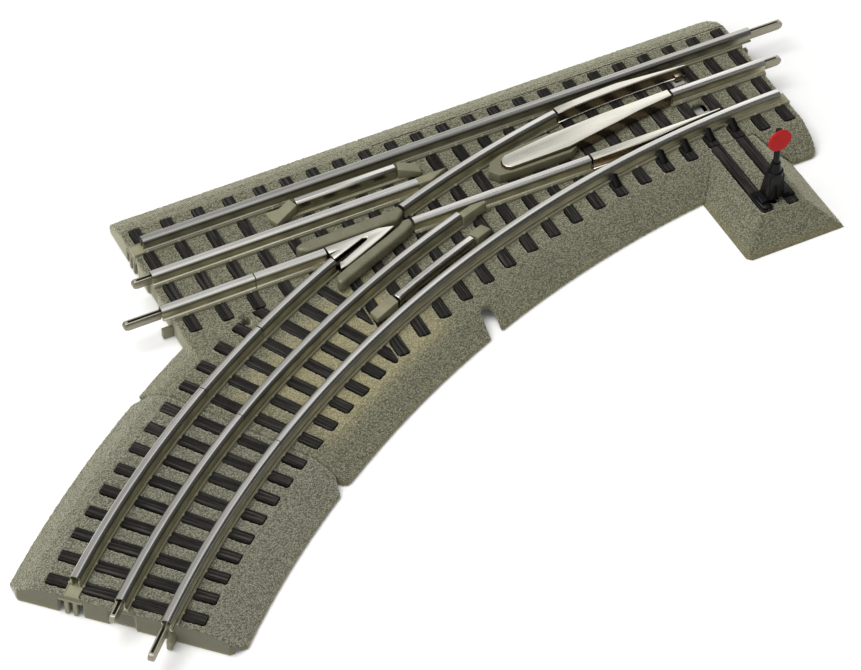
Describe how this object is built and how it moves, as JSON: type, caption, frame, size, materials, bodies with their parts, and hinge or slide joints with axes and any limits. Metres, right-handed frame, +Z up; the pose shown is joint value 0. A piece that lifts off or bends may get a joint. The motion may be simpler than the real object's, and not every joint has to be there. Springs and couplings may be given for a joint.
{
  "type": "model railway turnout",
  "caption": "Left-hand three-rail O-gauge turnout on a moulded ballast roadbed, with swinging point rails, a throw bar and a small stand with a red disc target.",
  "frame": {"origin": "on the track's centre line at the points end, at the level of the table", "axes": "+X points out of the points end along the straight route, +Y to the far side, away from the branch, +Z up"},
  "size_m": [0.3687, 0.2033, 0.0435],
  "materials": {
    "ballast_plastic": "moulded stone texture, matte",
    "tie_plastic": "moulded wood grain, matte",
    "olive_plastic": "smooth satin",
    "rail_steel": "bright head, darker web",
    "nickel": "bright nickel plate",
    "pin_steel": "plated, slightly yellow",
    "small_steel": "plain",
    "brass_strip": "plain",
    "grey_plastic": "smooth",
    "black_plastic": "gloss",
    "red_plastic": "gloss"
  },
  "bodies": {
    "root": {"branch_centre_rail": "rail_steel", "branch_closure_rail": "rail_steel", "branch_end_rail": "rail_steel", "branch_frog_rail": "rail_steel", "bus_strips": "brass_strip", "centre_rail_ramps": "olive_plastic", "centre_wedge": "nickel", "cover_screws": "small_steel", "detent_spring": "small_steel", "end_section_centre_rail": "rail_steel", "end_section_inner_rail": "rail_steel", "end_section_outer_rail": "rail_steel", "end_section_shell": "ballast_plastic", "end_section_ties": "tie_plastic", "far_guard_rail": "rail_steel", "far_shoulder": "ballast_plastic", "far_stock_rail": "rail_steel", "far_wing_rail": "olive_plastic", "frog_plate": "nickel", "guard_lead_ins": "olive_plastic", "heel_pivots": "small_steel", "long_joiner_pins": "pin_steel", "mechanism_cover": "grey_plastic", "near_guard_rail": "rail_steel", "near_stock_rail": "rail_steel", "near_wing_rail": "olive_plastic", "points_centre_rail": "rail_steel", "rail_braces": "black_plastic", "roadbed_shell": "ballast_plastic", "short_joiner_pins": "pin_steel", "stand_platform": "ballast_plastic", "stand_ties": "tie_plastic", "stand_tower": "black_plastic", "switch_ties": "tie_plastic", "through_centre_rail": "rail_steel", "through_closure_rail": "rail_steel", "through_end_rail": "rail_steel", "through_frog_rail": "rail_steel", "track_latches": "olive_plastic", "wedge_rim": "olive_plastic"},
    "throw_bar": {"throw_bar": "grey_plastic"},
    "near_point": {"near_point": "nickel"},
    "far_point": {"far_point": "nickel"},
    "target": {"target_mast": "black_plastic", "target_disc": "red_plastic", "target_crank": "black_plastic"}
  },
  "joints": [
    {"name": "throw_bar_slide", "type": "slide", "parent": "root", "child": "throw_bar", "axis": [0, 1, 0], "range_m": [0, 0.00457]},
    {"name": "near_point_hinge", "type": "hinge", "parent": "root", "child": "near_point", "pos_m": [-0.0818, -0.01773, 0.0105], "axis": [0, 0, 1], "range_deg": [0, 5.2]},
    {"name": "far_point_hinge", "type": "hinge", "parent": "root", "child": "far_point", "pos_m": [-0.0818, 0.01063, 0.0105], "axis": [0, 0, 1], "range_deg": [0, 5.2]},
    {"name": "target_hinge", "type": "hinge", "parent": "root", "child": "target", "pos_m": [-0.032, -0.062, 0.02], "axis": [0, 0, 1], "range_deg": [0, 90]}
  ],
  "couplings": [
    {"joint": "near_point_hinge", "follows": "throw_bar_slide", "rad_per_m": 19.866},
    {"joint": "far_point_hinge", "follows": "throw_bar_slide", "rad_per_m": 19.866},
    {"joint": "target_hinge", "follows": "throw_bar_slide", "rad_per_m": 343.83}
  ]
}
